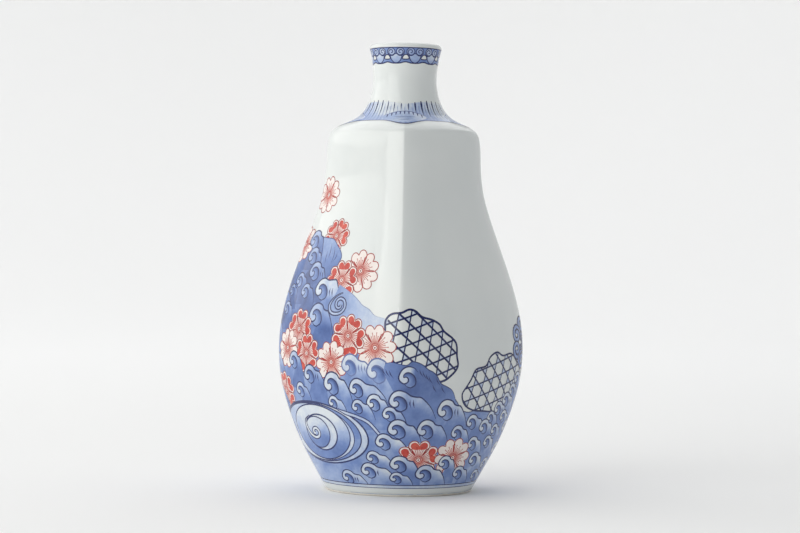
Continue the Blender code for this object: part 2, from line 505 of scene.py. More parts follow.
def draw_blossom(art, spot, red):
    """A five-petalled blossom: notched petals, red tips or pale ones, stamens and a ringed eye."""
    petal = mirrored(PETAL_SIDE)
    tip = mirrored(TIP_SIDE)
    heart = 0.42 if red else 0.56
    art.fill(BARE, spot.chart(oval((0, 0), 0.9, 24)))

    def flush(chart_points):
        out = np.linalg.norm(spot.local(chart_points), axis=1)
        return 0.05 + heart * (1 - ease(out, 0.05, 0.66))

    def cloudy(chart_points):
        local = spot.local(chart_points)
        return 0.5 + 0.3 * np.sin(5 * local[:, 0] + spot.along) * np.cos(4 * local[:, 1])

    angles = [90 + 360 / PETALS * i for i in range(PETALS)]
    petals = [spot.chart(turned(petal, angle)) for angle in angles]
    for outline, angle in zip(petals, angles):
        art.fill(PALE, outline, flush)
        if red:
            art.fill(RED, spot.chart(turned(tip, angle)), cloudy)
    for outline in petals:
        art.stroke(RED_LINES, outline, 0.36, 0.88 if red else 0.74, closed=True)
    art.fill(PALE, spot.chart(oval((0, 0), 0.3, 20)), flush)
    for i in range(STAMENS):
        angle = math.tau * i / STAMENS
        ray = np.array((math.cos(angle), math.sin(angle)))
        end = 0.52 if i % 2 else 0.66
        art.stroke(RED_LINES, spot.chart((ray * 0.16, ray * 0.3, ray * end)), 0.23, 0.55)
        art.fill(RED_LINES, spot.chart(ray * end + oval((0, 0), 0.028, 5)), 0.7)
    for paint, radius, sides, tone in EYE:
        art.fill(paint, spot.chart(oval((0, 0), radius, sides)), tone)


# The ragged round outlines of the two front roundels, about their middles.
FIRST_ROUNDEL = (
    (-15.3, 7.4), (-14.4, 10.3), (-12.2, 11.7), (-8.9, 12.1), (-6, 13.3), (-3.3, 12.7),
    (-0.6, 10.6), (3.7, 9.5), (7, 7.8), (8.9, 5.2), (12.8, 2.6), (14.6, 0.2),
    (14.7, -3.9), (15.2, -7.5), (12.9, -10.4), (7.7, -13.2), (0, -12.5), (-8, -9.5),
    (-14, -2),
)
SECOND_ROUNDEL = (
    (-18.2, -3.8), (-16, -0.6), (-14.2, 1.8), (-11.7, 5.5), (-6.5, 6.6), (-4, 9.9),
    (0.2, 11.6), (3.9, 10.2), (9.8, 10.8), (14, 8), (17.5, 5.3), (18.6, 0),
    (16, -6), (9, -10), (2, -11.2), (-5.2, -10.7), (-11.8, -10), (-16.5, -7.7),
)
LATTICE_PITCH = 5.55


def draw_roundel(art, spot, outline, lean, heavy=0.6):
    """A lobed ring filled with a woven lattice: three sets of lines, triangles tinted between them.

    lean is the rise of the first set of lines, in degrees.
    """
    outline = smooth(outline, 4, closed=True)
    radius = np.abs(outline).max(axis=0)
    ring = art.fill(BARE, spot.chart(outline))
    reach = int(max(radius) / LATTICE_PITCH) + 2
    first = turned(((LATTICE_PITCH, 0.0),), lean)[0]
    second = turned(((LATTICE_PITCH, 0.0),), lean - 60)[0]
    half_steps = np.array((first, second, first + second)) / 2
    for i in range(-reach, reach + 1):
        for j in range(-reach, reach + 1):
            centre = i * first + j * second
            if np.hypot(*(centre / radius)) > 1.5:
                continue
            for middle, way in ((centre, 1), (centre + first + second, -1)):
                art.fill(WASH, spot.chart(middle + way * half_steps), 0.14, inside=ring)
    extent = max(radius) * 1.1
    row = LATTICE_PITCH * math.sqrt(3) / 2
    lines = int(extent / row) + 1
    along = np.linspace(-extent, extent, 40)
    for turn, width in ((lean + 60, heavy * 0.7), (lean, heavy * 0.9), (lean - 60, heavy)):
        for k in range(-lines, lines):
            offset = (k + 0.5) * row
            line = pairs(along, offset)
            art.stroke(LINES, spot.chart(turned(line, turn)), width, 1.0, inside=ring)
    art.stroke(LINES, spot.chart(outline), heavy * 1.1, 1.0, closed=True)


def draw_scroll_roundel(art, spot, radius):
    """A ring of curling tendrils, with leaves between them and one curl in the middle."""
    curls = 8
    for i in range(curls):
        angle = math.tau * (i + 0.4) / curls
        middle = np.array((math.cos(angle), math.sin(angle))) * radius * 0.68
        leaf = turned(oval((0, 0), (2.4, 1.0), 12), math.degrees(angle)) + middle * 0.5
        art.fill(LINES, spot.chart(leaf), 0.85)
        turns = 1.5 if i % 2 else -1.5
        curl = spot.chart(spiral_points(middle, 3.6, 0.8, turns, math.degrees(angle) + 180))
        draw_banded(art, curl, (1.8, 0.5, 0.9), 0.42, 0.62, 1.0)
    eye = spot.chart(spiral_points((0, 0), 2.8, 0.7, 1.6, 90))
    draw_banded(art, eye, (1.7, 0.4, 0.9), 0.42, 0.62, 1.0)


def draw_whirlpool(art, spot):
    """Ovals one inside another that touch on their left, a spiral in the innermost.

    Each row gives the oval's centre and radii, and the tones at its top and bottom.
    """
    rings = (
        ((0.0, 0.0), (24.0, 12.3), 0.08, 0.16, 0.66),
        ((-1.4, 0.1), (22.4, 11.7), 0.5, 0.44, 0.52),
        ((-2.5, -0.1), (20.4, 11.4), 0.22, 0.06, 0.38),
        ((-0.2, 0.2), (16.2, 11.0), 0.06, 0.52, 0.5),
        ((0.8, 0.3), (8.9, 7.2), 0.04, 0.1, 0.62),
        ((-1.2, 0.1), (7.1, 6.3), 0.08, 0.54, 0.5),
    )
    outer = None
    for centre, radii, top, bottom, line in rings:
        points = spot.chart(turned(oval(centre, radii, 56), -4))

        def tone(at, centre=centre, radii=radii, top=top, bottom=bottom):
            height = (spot.local(at)[:, 1] - centre[1]) / radii[1]
            return bottom + (top - bottom) * ease(height, -0.7, 0.75)

        shape = art.fill(WASH, points, tone, inside=outer)
        art.stroke(LINES, points, line, 0.92, closed=True, inside=outer)
        outer = shape if outer is None else outer
    arm = ((-4.3, 6.6), (-6.9, 5.0), (-7.6, 3.1), (-7.2, 1.2), (-5.6, -0.9), (-3.0, -2.0),
           (-0.6, -1.3), (-0.1, 0.5), (-1.6, 1.8), (-3.4, 1.2), (-3.4, -0.2), (-2.4, -0.4))
    draw_banded(art, spot.chart(smooth(arm, 4)), (1.3, 0.3, 0.9), 0.06, 0.46, 0.95)
    wake = ((11.5, 10.2), (15.4, 8.9), (19.8, 7.8), (24.5, 5.7), (28.4, 1.4))
    draw_banded(art, spot.chart(smooth(wake, 5)), (1.3, 0.4, 0.9), 0.16, 0.44, 0.85)


# ---- The composition. Arcs are distances round the surface from the front corner, + to the right.

# The top of the painted sea and of the wave mountain at the left corner, on the chart's along and
# in heights, from the back corner round by the left.
SEA_TOP = np.array((
    (-125, 44), (-113, 46), (-102, 44), (-92, 52), (-84, 64), (-76, 80), (-69, 92), (-62, 97),
    (-55, 97), (-47, 97), (-42, 95), (-37, 95), (-33, 91), (-31, 88), (-29, 81), (-25, 77),
    (-19, 74), (-14, 70.5), (-10.5, 67.5), (-5.6, 66.5), (-2, 60), (-1, 50), (4, 50), (8, 49.5),
    (11, 47.5), (14, 45), (16, 42), (20, 40), (23, 37), (25, 34.3), (29, 33.2), (33, 34),
    (37, 33.4), (42, 34.4), (48, 37), (54, 40.4), (60, 43.5), (66, 50), (74, 50), (90, 40),
    (102, 40), (113, 44), (125, 44),
))
SEA_FOOT = 4.5
GROUND_DROP = 1.2  # how far the wash lies under the waves' own tops

# Arc, height and size of each front wave, its ridge's length and its number of back strokes.
FRONT_WAVES = (
    (-44.5, 95.2, 3.1, 0.4, 0), (-44.6, 89.1, 2.9, 0.4, 0), (-42.4, 83.4, 3.1, 0.45, 2),
    (-52.4, 79.9, 2.4, 0.5, 0), (-57.7, 76, 1.9, 0.5, 0), (-47.5, 75.9, 2.4, 0.5, 0),
    (-60.8, 69.2, 2.1, 0.5, 0), (-39.7, 67.4, 3.6, 0.5, 0), (-53, 49.9, 2.7, 0.4, 0),
    (-42.4, 45.1, 2.9, 0.6, 2), (-30, 42.2, 3.6, 0.5, 0), (-17.9, 41.1, 3, 0.9, 0),
    (-48.1, 38.9, 2.4, 0.5, 0), (-0.6, 37, 3.3, 0.9, 2), (-10.3, 36, 2.7, 0.45, 0),
    (-28.9, 35.2, 2.1, 0.6, 0), (-17.2, 34.2, 2.3, 0.6, 0), (18.6, 33.4, 3.4, 0.6, 2),
    (-4, 31.9, 2.4, 0.5, 0), (31.5, 28.4, 2.5, 0.6, 0), (38.6, 26.3, 2.5, 0.5, 0),
    (47.5, 32.9, 2.3, 0.6, 2), (53, 36, 2.4, 0.6, 3), (57.6, 39.4, 2.3, 0.5, 2),
    (61.5, 43.8, 2.2, 0.5, 0), (52, 29.6, 2.1, 0.5, 0), (46, 24.6, 2.1, 0.5, 0),
    (42.6, 29.7, 2, 0.5, 0), (-1, 26.4, 3.2, 0.55, 0), (10, 26.3, 3.2, 0.6, 0),
    (56, 25.3, 2.3, 0.5, 0), (23.9, 24.6, 2.5, 0.5, 0), (-6.1, 21.4, 2.8, 0.7, 0),
    (41.5, 20.3, 2.2, 0.5, 0), (32.1, 20.1, 2.4, 0.5, 0), (50, 17, 2.3, 0.5, 0),
    (-10.1, 15.3, 2.3, 0.7, 0), (33.3, 13.9, 2.5, 0.5, 0), (18.1, 13.4, 2.4, 0.4, 0),
    (-0.2, 13, 3, 0.5, 0), (42, 11.5, 2.3, 0.6, 0), (-11.6, 10.2, 2.8, 0.8, 1),
    (9.5, 9.4, 3.1, 0.6, 0), (24.6, 9.1, 2.4, 0.5, 0), (-1.1, 7.6, 2.1, 0.6, 0),
    (-20.5, 7.2, 2.5, 0.7, 2), (35, 7.4, 2.1, 0.6, 0),
)

# Arc, height, radius, turn, red or pale, and the height of the waves that it stands behind.
BLOSSOMS = (
    (-38.2, 112.1, 7, 8, False, 112), (-52.6, 93.2, 7, 20, False, 97),
    (-31, 96.6, 6.8, -26, True, 97.5), (-17.6, 83.8, 8, 18, False, 80.4),
    (-26.8, 80.2, 7.7, 0, True, 80.3), (-10.2, 56, 8.3, 4, False, 51.9),
    (-22.4, 59.9, 7.9, -25, True, 51.8), (-30.3, 49.9, 7.8, 44, False, 51.7),
    (-49.9, 61.4, 7.6, -8, True, 51.6), (-44.4, 52.6, 7.2, 0, True, 51.5),
    (-57.6, 54, 7.2, 30, False, 51.4), (-59.8, 37.7, 7.2, 10, True, 40),
    (7.2, 14.5, 8.2, 0, True, 14.6), (21.9, 15, 8, 40, False, 14.5),
    (-88, 62, 7.6, 5, True, 58), (-99, 55, 7.8, 25, False, 57.9),
    (-82, 53, 7.4, 40, False, 52), (-93, 78, 6.8, 12, False, 74),
    (-108, 20, 7.6, 30, True, 21), (-95, 16.5, 7.4, 8, False, 18),
    (92, 52, 7.8, 18, True, 49), (104, 58, 7.6, 0, False, 48.9),
    (116, 50.5, 7.8, 30, True, 48.8), (108, 73, 6.8, 10, True, 70),
    (68, 18, 7.4, 22, True, 19), (80, 14.5, 7.2, 4, False, 16),
)

HIDDEN_ROWS = (92, 86, 80, 74, 68, 62, 56, 50, 44.5, 39, 33.5, 28, 22.5, 17, 12, 7.4)
HIDDEN_LEFT = -64.0  # on the chart, where the front's own waves end on either side
HIDDEN_RIGHT = 60.0
HIDDEN_PITCH = 10.4


def hidden_waves():
    """Rows of waves for the sides that the front doesn't show, staggered and slightly uneven."""
    uneven = random.Random(11)
    waves = []
    for row, height in enumerate(HIDDEN_ROWS):
        spread = CHART_WIDTH / float(girth(station_at(height)))
        span = CHART_WIDTH - (HIDDEN_RIGHT - HIDDEN_LEFT)
        count = int(span / (HIDDEN_PITCH * spread))
        for i in range(count):
            along = HIDDEN_RIGHT + span * (i + 0.25 + 0.5 * (row % 2)) / count
            along += uneven.uniform(-1.3, 1.3)
            if along > HALF_CHART:
                along -= CHART_WIDTH
            level = height + uneven.uniform(-1.0, 1.0)
            size = uneven.uniform(2.3, 3.2) * (0.85 if height < 15 else 1.0)
            ridge = uneven.uniform(0.45, 0.9)
            hatches = uneven.choice((0, 0, 2, 3))
            if level < np.interp(along, *SEA_TOP.T) - 0.5 * size:
                waves.append((along / spread, level, size, ridge, hatches))
    return waves


def draw_sea_ground(art):
    """The wash that lies under every wave, paler near the foot with painted light reflected up from the
    floor.
    """
    top = smooth(level_line(SEA_TOP[:, 0], SEA_TOP[:, 1] - GROUND_DROP), 4)
    bottom = level_line(np.linspace(-HALF_CHART, HALF_CHART, 60), SEA_FOOT)

    def deep(at):
        swirl = np.sin(at[:, 0] * 0.35 + np.sin(at[:, 1] * 0.3)) * np.cos(at[:, 1] * 0.27)
        # painted light: the wash turns paler towards the foot, as light reflected up from the floor
        painted_floor_light = 0.14 * ease(-at[:, 1], -18.0, -6.0)
        return 0.45 - painted_floor_light + 0.18 * ease(at[:, 1], 45.0, 65.0) + 0.08 * swirl

    art.fill(WASH, between(top, bottom), deep)
    art.stroke(LINES, top, 0.34, 0.85)


def draw_rock(art):
    """The dark peak right of the highest wave."""
    side = ((-38.7, 96.0), (-36.0, 95.8), (-32.3, 95.4), (-30.1, 93.3), (-28.1, 91.1), (-27.4, 88.8),
            (-28.6, 86.6), (-31.0, 83.0))
    foot = ((-30.0, 79.0), (-36.5, 80.0))
    art.bank(side, foot, lambda at: 0.4 + 0.3 * ease(-at[:, 1], -100, -84), 0.3, 0.8)
    for crack in (((-33.2, 94.0), (-33.8, 90.5), (-35.2, 87.5)),
                  ((-31.4, 92.5), (-31.6, 89.5), (-33.2, 86.0)),
                  ((-29.6, 90.5), (-30.6, 88.4), (-32.2, 87.0)),
                  ((-35.4, 91.0), (-36.2, 88.5), (-36.6, 86.0))):
        art.hatch(crack, 0.34, 0.8)


def draw_slope(art):
    """The pale misty slope between the wave mountain and the first roundel."""
    ridge = ((-27.5, 78.5), (-24.1, 76.9), (-20.2, 74.7), (-17.6, 72.6), (-16.0, 71.2), (-13.0, 69.8),
             (-10.5, 67.6), (-6.3, 66.8))
    foot = ((-4.0, 58.0), (-14.0, 56.0), (-24.0, 58.0), (-30.5, 66.0), (-30.0, 74.0))
    mist_level = float(station_at(62.0))

    def mist(at):
        right = ease(at[:, 0], -30.0, -8.0)
        low = ease(-(at[:, 1] - mist_level), -9.0, 3.0)
        return 0.4 - 0.3 * right + 0.14 * low * (1 - right)

    art.bank(ridge, foot, mist, 0.2, 0.42, 0.6, 0.2)


def draw_dark_swell(art):
    """The dark back of the tall wave right of the front corner."""
    ridge = ((-6.0, 50.4), (-3.0, 50.9), (2.1, 49.9), (4.5, 51.3), (8.2, 50.3), (11.0, 48.3), (13.0, 47.4),
             (14.8, 45.8), (16.4, 43.2), (18.9, 42.0), (21.4, 40.6), (22.7, 38.4), (23.5, 35.5))
    foot = ((22.0, 31.0), (10.0, 33.0), (0.0, 36.0), (-3.5, 42.0), (-6.5, 47.0))
    foot_level = float(station_at(38.0))

    def shade(at):
        dark = 0.26 + 0.4 * ease(at[:, 0], -10.0, -2.0) + 0.06 * np.sin(at[:, 0] * 0.5)
        return dark - 0.12 * ease(foot_level - at[:, 1], -3.0, 3.0)

    art.bank(ridge, foot, shade, 0.36, 0.9, 0.4, 0.3)
    for arc, height in ((-7.0, 47.4), (-5.6, 47.0), (-4.2, 46.6), (7.3, 47.0), (8.6, 46.4), (9.9, 45.4),
                        (11.1, 44.6), (14.4, 43.9), (12.8, 41.4), (16.6, 40.9)):
        art.hatch(((arc, height + 1.4), (arc + 0.5, height), (arc + 1.7, height - 1.5)), 0.46, 0.85)


COLLAR_FOOT = 140.4
COLLAR_TOP = 147.6
COLLAR_DRIFT = math.tau * 4 / CHART_WIDTH  # its washes deepen to the right of every corner
RAYS = 34
RAY_TOP = 148.3
RAY_FOOT = 141.7
RAY_WIDTHS = ((0, 2, 6, 9), (0.3, 0.7, 0.46, 0.14))  # points along a ray and its widths there
ECHO_DROP = 1.3  # how much lower the faint stroke between two rays stands
LENS_HALF = 20.0  # on the chart
LENS_TOP = 143.9
LENS_FOOT = 139.6


def near_corner(along, width):
    """1 at the body's corners, falling to a third at the width on either side, and on to 0."""
    off = (np.asarray(along) + CORNER / 2) % CORNER - CORNER / 2
    return np.exp(-((off / width) ** 2))


def draw_collar(art):
    """The washed collar at the neck's foot, with its rays, corner lenses and dark lower line."""
    along = np.linspace(-HALF_CHART, HALF_CHART, 161)
    low = level_line(along, COLLAR_FOOT - 1.5 * near_corner(along, 10.5))
    high = level_line(along, COLLAR_TOP - 0.8 * near_corner(along, 12.0))
    start, end = (float(station_at(height)) for height in (COLLAR_FOOT, COLLAR_TOP))

    def wash(at):
        side = 0.18 * np.sin(at[:, 0] * COLLAR_DRIFT)
        return 0.42 + side - 0.36 * ease(at[:, 1], start, end - 2.0) + 0.06 * np.sin(at[:, 0] * 1.7)

    art.fill(WASH, between(low, high), wash)
    points = RAY_WIDTHS[0][-1] + 1
    for i in range(RAYS):
        place = CHART_WIDTH * (i + 0.5) / RAYS
        close = float(near_corner(place, 15.0))
        heights = np.linspace(RAY_TOP - 1.4 * close, RAY_FOOT + 2.7 * close, points)
        heft = (1 - 0.35 * close) * (1 + 0.3 * math.sin(place * COLLAR_DRIFT))
        widths = np.interp(np.arange(points), *RAY_WIDTHS) * heft
        art.stroke(LINES, level_line(place, heights), widths, 0.96)
        echo = level_line(place + CHART_WIDTH / RAYS / 2, heights - ECHO_DROP)
        art.stroke(LINES, echo, widths * 0.5, 0.35)
    side = np.linspace(-LENS_HALF, LENS_HALF, 21)
    bow = (side / LENS_HALF) ** 2
    for middle in np.arange(4) * CORNER:
        lens_top = level_line(middle + side, LENS_TOP - 1.9 * bow)
        lens_low = level_line(middle + side, LENS_FOOT + 1.7 * bow)
        art.fill(WASH, between(lens_low, lens_top), lambda at: 0.24 - 0.16 * ease(at[:, 1], start, end))
        art.brush(lens_top, 0.34, 0.6)
        for i in range(-4, 5):
            top = LENS_TOP - 0.1 - 1.9 * (i / 5.0) ** 2
            art.stroke(LINES, level_line(middle + i * 4.0, (top, top - 1.1)), (0.62, 0.25), 0.85)
        for height, half in ((141.7, 9.0), (141.1, 7.0), (140.5, 5.0)):
            art.brush(level_line(middle + np.linspace(-half, half, 9), height), 0.28, 0.75)
    art.stroke(LINES, low, 0.5 + 0.55 * near_corner(along, 9.0), 0.92)


GLAZE_START = 0.3  # station, on the chart
FOOT_LINE = 3.4
RIM_UNITS = 11
RIM_FOOT = 162.2
RIM_TOP = 168.2
RIM_MIDDLE = 165.0
# One unit of the rim's band, in millimetres about its middle.
RIM_OPENING = ((-1.15, -1.2), (-0.7, 0.1), (0.3, 0.45), (1.05, -0.1), (1.2, -1.2))
RIM_LOBE = ((-1.9, 0.6), (-2.1, -0.9), (-1.3, -2.2), (0.0, -2.75), (1.3, -2.2), (2.1, -0.9), (1.9, 0.6))
RIM_DISC = (1.75, 1.5)


def draw_rim(art):
    """The band under the lip: pairs of curls over a hanging lobe, white openings between them."""
    pitch = CHART_WIDTH / RIM_UNITS
    along = np.linspace(-HALF_CHART, HALF_CHART, RIM_UNITS * 16 + 1)
    low = level_line(along, RIM_FOOT + 0.5 * np.cos(along / pitch * math.pi) ** 4)
    high = level_line(along, RIM_TOP)
    art.fill(WASH, between(low, high), 0.5)
    unit = pitch * float(girth(station_at(RIM_MIDDLE))) / CHART_WIDTH
    for i in range(RIM_UNITS):
        spot = Spot(unit * (i + 0.5), RIM_MIDDLE)
        opening = smooth(RIM_OPENING, 3, True) + (unit / 2, 0.0)
        art.ringed(BARE, spot.chart(opening), 0.0, 0.4, 1.0)

        def hanging(at, spot=spot):
            return 0.34 - 0.2 * ease(spot.local(at)[:, 1], -2.6, 0.4)

        art.ringed(WASH, spot.chart(smooth(RIM_LOBE, 3, True)), hanging, 0.38)
        for side in (-1, 1):
            across, up = RIM_DISC
            art.ringed(WASH, spot.chart(oval((side * across, up), 1.5, 18)), 0.24, 0.36)
            curl = spiral_points(RIM_DISC, 1.4, 0.3, 1.25, 200, 14) * (side, 1)
            art.brush(spot.chart(curl), 0.38, 0.85, 0.8, 0.9)
    for edge, width in ((high, 0.6), (low, 0.45)):
        art.stroke(LINES, edge, width, 1.0)


def draw_foot_lines(art):
    """The sea's lower edge: a dark line, a pale gap and a finer line, the glaze bare below."""
    along = np.linspace(-HALF_CHART, HALF_CHART, 161)
    art.fill(BARE, between(pairs(along, GLAZE_START), level_line(along, SEA_FOOT)))
    for height, width, tone in ((SEA_FOOT + 0.05, 0.44, 0.95), (FOOT_LINE, 0.34, 0.9)):
        art.stroke(LINES, level_line(along, height), width, tone)
    gap = between(level_line(along, FOOT_LINE + 0.1), level_line(along, SEA_FOOT - 0.1))
    art.fill(WASH, gap, 0.12)


def compose():
    """The whole painting. Motifs are drawn from the highest, which stand behind, to the lowest."""
    art = Painting()
    draw_sea_ground(art)
    draw_scroll_roundel(art, Spot(69.2, 57.0), (13.4, 10.4))
    draw_roundel(art, Spot(45.0, 42.5), SECOND_ROUNDEL, 14, 0.63)
    draw_roundel(art, Spot(-106.0, 66.0), FIRST_ROUNDEL, 22, 0.55)
    draw_roundel(art, Spot(119.0, 56.0), SECOND_ROUNDEL, 15, 0.55)
    layers = []

    def add(level, draw, *details, **looks):
        layers.append((level, lambda: draw(art, *details, **looks)))

    add(97.2, draw_rock)
    add(76.9, draw_wave, Spot(-37.1, 76.9, 3.5), 0.62, swell=0.6, hatches=2)
    add(73.0, draw_slope)
    add(72.0, draw_roundel, Spot(9.0, 57.0), FIRST_ROUNDEL, 19, 0.76)
    add(71.1, draw_spiral_wave, Spot(-27.4, 71.2, 2.35))
    add(46.5, draw_dark_swell)
    add(45.8, draw_wave, Spot(2.8, 45.8, 3.2), backed=False)
    add(32.5, draw_whirlpool, Spot(-36.0, 22.9))
    for arc, height, size in ((-21.4, 49.5, 3.3), (-9.4, 47.8, 3.8)):
        add(height, draw_wave, Spot(arc, height, size), 0.7, depth=-0.1, line_tone=0.55, hatches=3)
    for arc, height, radius, turn, red, behind in BLOSSOMS:
        add(behind, draw_blossom, Spot(arc, height, radius, turn), red)
    for arc, height, size, ridge, hatches in FRONT_WAVES + tuple(hidden_waves()):
        depth = 0.22 * float(ease(height, 50.0, 75.0)) + 0.12 * float(ease(-arc, 30.0, 48.0))
        # painted light: the lowest waves are paler, as light reflected up from the floor
        depth -= 0.05 * float(ease(-height, -34.0, -16.0))
        add(height, draw_wave, Spot(arc, height, size), ridge, depth=depth, hatches=hatches)
    layers.sort(key=lambda layer: -layer[0])
    for _, draw in layers:
        draw()
    draw_foot_lines(art)
    draw_collar(art)
    draw_rim(art)
    return art


# ---- From the chart to meshes.

CHART_FOOT = 0.2  # station where the chart's sheet begins
WELD = 1e-5  # chart points closer than this become one
FLATNESS = 0.008  # how far a straight edge may cut into the curved surface
LONGEST_EDGE = 1.2
SHORTEST_EDGE = 0.22
FILLED_ROWS = ((4.0, 118.0, 1.25), (138.0, 149.0, 0.45), (161.5, 168.24, 0.7))  # heights and step
FILLING_PITCH = 1.35
FILLING_TURN = 4.0  # degrees
FILLING_GAP = 0.12  # on the chart


def refined(outlines):
    """Closed outlines cut into edges short enough for the surface's bend under them.

    Gives all their corners in one run, and each outline's count of corners.
    """
    starts = np.vstack(outlines)
    ends = np.vstack([np.roll(o, -1, axis=0) for o in outlines])
    middle = (starts + ends) / 2
    station = np.clip(middle[:, 1], 0.0, STATIONS[-1])
    along = (middle[:, 0] + HALF_CHART) % CHART_WIDTH - HALF_CHART
    narrowing = girth(station) / CHART_WIDTH
    length = np.hypot((ends - starts)[:, 0] * narrowing, (ends - starts)[:, 1])
    limit = np.sqrt(8 * FLATNESS * bend_radius(along, station))
    limit = np.clip(limit, SHORTEST_EDGE, LONGEST_EDGE)
    pieces = np.maximum(np.ceil(length / limit), 1).astype(int)
    corners = []
    for start, end, count in zip(starts, ends, pieces):
        share = (np.arange(count) / count)[:, None]
        corners.append(start + (end - start) * share)
    sizes = [len(o) for o in outlines]
    return np.vstack(corners), np.add.reduceat(pieces, np.cumsum(sizes) - sizes)


def filling_points():
    """Loose chart points that let wide washes follow the surface and shade evenly."""
    rows = [np.arange(station_at(low), station_at(high), step) for low, high, step in FILLED_ROWS]
    points = []
    for station in np.concatenate(rows):
        spread = CHART_WIDTH / float(girth(station))
        even = np.arange(-HALF_CHART, HALF_CHART, FILLING_PITCH * spread)
        squareness, mean = shape_at(station)
        turn = np.radians(np.arange(-180, 180, FILLING_TURN))
        by_turn = arc_from_corner(turn, squareness, mean) * spread
        along = np.sort(np.concatenate([even, by_turn]))
        along = along[np.concatenate([[True], np.diff(along) > FILLING_GAP])]
        points.append(pairs(along, station))
    return np.vstack(points)


def cut_chart(art):
    """Cuts the chart and gives each paint its triangles: {paint: (corners, tones, faces)}."""
    half = HALF_CHART
    low, high = CHART_FOOT, STATIONS[-1] - 0.02
    outlines = [np.array(((-half, low), (half, low), (half, high), (-half, high)))]
    source = [None]
    shift = [0.0]
    for number, (_, outline, _, _) in enumerate(art.shapes):
        for turn in (0.0, CHART_WIDTH, -CHART_WIDTH):
            moved = outline + (turn, 0.0)
            if moved[:, 0].min() < half and moved[:, 0].max() > -half:
                outlines.append(moved)
                source.append(number)
                shift.append(turn)
    corners, sizes = refined(outlines)
    polygons = [list(range(end - size, end)) for end, size in zip(np.cumsum(sizes), sizes)]
    corners = np.vstack([corners, filling_points()])
    cut = delaunay_2d_cdt([tuple(p) for p in corners], [], polygons, 0, WELD, True)
    places, _, triangles, _, _, covering = cut
    places = np.array([(p[0], p[1]) for p in places])
    paints = {}
    for face, covers in zip(triangles, covering):
        if 0 not in covers:
            continue
        under = {source[c] for c in covers}
        best = 0
        for cover in covers:
            if cover > best:
                inside = art.shapes[source[cover]][3]
                if inside is None or inside in under:
                    best = cover
        if best and art.shapes[source[best]][0] != BARE:
            paints.setdefault(art.shapes[source[best]][0], []).append((best, face))
    sheets = {}
    for paint, triangles in paints.items():
        sheets[paint] = gather(triangles, places, art, source, shift)
    return sheets


def gather(triangles, places, art, source, shift):
    """One paint's own vertices: a vertex is shared only within one brush stroke or wash."""
    vertices = {}
    faces = []
    for shape, face in triangles:
        faces.append([vertices.setdefault((shape, v), len(vertices)) for v in face])
    shapes = np.array([shape for shape, _ in vertices])
    points = places[[v for _, v in vertices]]
    tones = np.zeros(len(points))
    order = np.argsort(shapes, kind="stable")
    bounds = np.flatnonzero(np.diff(shapes[order])) + 1
    for group in np.split(order, bounds):
        shape = shapes[group[0]]
        tone = art.shapes[source[shape]][2]
        if callable(tone):
            tones[group] = tone(points[group] - (shift[shape], 0.0))
        else:
            tones[group] = tone
    return points, np.clip(tones, 0.0, 1.0), faces


def add_mesh(name, points, faces, normals=None, tones=None):
    """Puts a mesh, given in millimetres, into the scene as a smooth object."""
    mesh = bpy.data.meshes.new(name)
    mesh.from_pydata((np.asarray(points) * MM).tolist(), [], [list(f) for f in faces])
    mesh.validate()
    mesh.shade_smooth()
    if tones is not None:
        attribute = mesh.attributes.new("tone", "FLOAT", "POINT")
        attribute.data.foreach_set("value", np.asarray(tones, np.float32))
    if normals is not None:
        mesh.normals_split_custom_set_from_vertices(np.asarray(normals).tolist())
    made = bpy.data.objects.new(name, mesh)
    bpy.context.scene.collection.objects.link(made)
    return made


def make_paint_sheets():
    sheets = {}
    for paint, (points, tones, faces) in cut_chart(compose()).items():
        station = np.clip(points[:, 1], 0.0, STATIONS[-1])
        facing = facing_on_chart(points[:, 0], station)
        places, outward = outer_surface(facing, station, PAINT_LIFT)
        sheets[paint] = add_mesh(paint, places, faces, outward, tones)
    return sheets


# ---- The glazed body and the bare foot.

FOOT_GLAZE_EDGE = 0.8  # height at which the glaze stops above the bare clay
FOOT_GLAZE_INNER = 24.4
FOOT_CEILING = 4.3
FOOT_FILLET = 1.2
UNDERSIDE_RADIUS = 22.0
FOOT_DISH = 0.25
FLOOR_HEIGHT = 8.3
FLOOR_DISH = 1.0
INSIDE_FLOOR_RADIUS = 24.9
INSIDE_FILLET = 2.0
FACINGS = np.linspace(0, math.tau, COLUMNS, endpoint=False)


def round_ring(radius, height):
    return np.column_stack([radius * np.cos(FACINGS), radius * np.sin(FACINGS), np.full(COLUMNS, height)])


def outline_stations():
    """Closer rings on the shoulder and the neck than on the body."""
    parts = (
        np.arange(0.0, station_at(130.0), 1.3),
        np.arange(station_at(130.0), station_at(152.0), 0.4),
        np.arange(station_at(152.0), STATIONS[-1] - 0.3, 0.7),
        [STATIONS[-1]],
    )
    return np.concatenate(parts)


def outline_direction(station):
    """The outline's outward direction in the plane of radius and height."""
    step = 0.01
    run = RADIUS(station + step) - RADIUS(station - step)
    rise = LEVEL(station + step) - LEVEL(station - step)
    length = math.hypot(run, rise)
    return rise / length, -run / length


def inner_ring(station):
    """The inside of the wall, one wall thickness behind the middle of each side."""
    squareness, mean = shape_at(station)
    along_radius, along_height = outline_direction(station)
    side_reach = 1 - squareness * FIRST_LOBE - squareness**2 * SECOND_LOBE
    side = mean * side_reach - WALL(station) * along_radius
    inside = squareness * INNER_SQUARENESS
    inside_mean = side / (1 - inside * FIRST_LOBE - inside**2 * SECOND_LOBE)
    x, y = section(FACINGS, inside_mean, inside)
    return np.column_stack([x, y, np.full(COLUMNS, LEVEL(station) - WALL(station) * along_height)])


